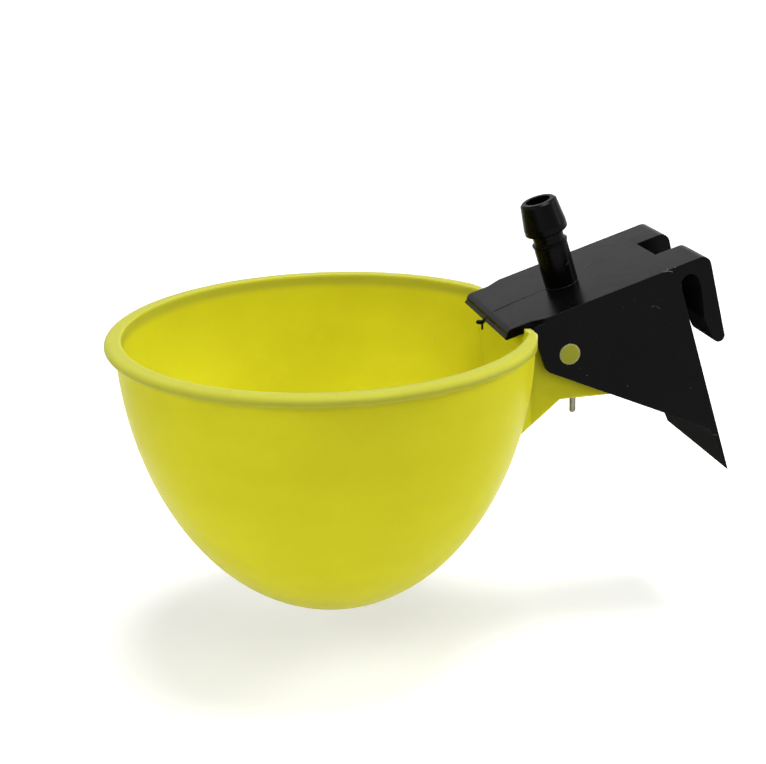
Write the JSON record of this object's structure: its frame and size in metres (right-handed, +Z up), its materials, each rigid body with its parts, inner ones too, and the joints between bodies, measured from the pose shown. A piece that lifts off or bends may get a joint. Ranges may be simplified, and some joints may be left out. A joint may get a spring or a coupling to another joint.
{
  "type": "poultry drinking cup",
  "caption": "Hanging drinking cup: a round-bottomed yellow bowl whose arm pivots in a black clip-on bracket with cage hooks, a hose barb and a stem valve.",
  "frame": {"origin": "centre of the round top of the hook slot, midway between the hooks, where the cage wire seats", "axes": "+Z up along the bowl's axis, +X from the bowl to the hooks, Y along the trunnion axis; stored as pictured, with the bowl raised against its stop"},
  "size_m": [0.1226, 0.086, 0.0807],
  "materials": {
    "yellow_plastic": "gloss, slightly translucent",
    "black_plastic": "satin gloss",
    "steel": "drawn wire",
    "seal_rubber": "matte"
  },
  "bodies": {
    "bracket": {"bracket": "black_plastic", "return_spring": "steel"},
    "cup": {"cup": "yellow_plastic", "valve_stem": "steel", "valve_seal": "seal_rubber"}
  },
  "joints": [
    {"name": "cup_tilt", "type": "hinge", "parent": "bracket", "child": "cup", "pos_m": [-0.02459, 0, -0.01202], "axis": [0, -1, 0], "range_deg": [0, 16.7], "stiffness_Nm_per_rad": 0.06, "springref_deg": -11.46, "deforming": ["return_spring"]}
  ]
}
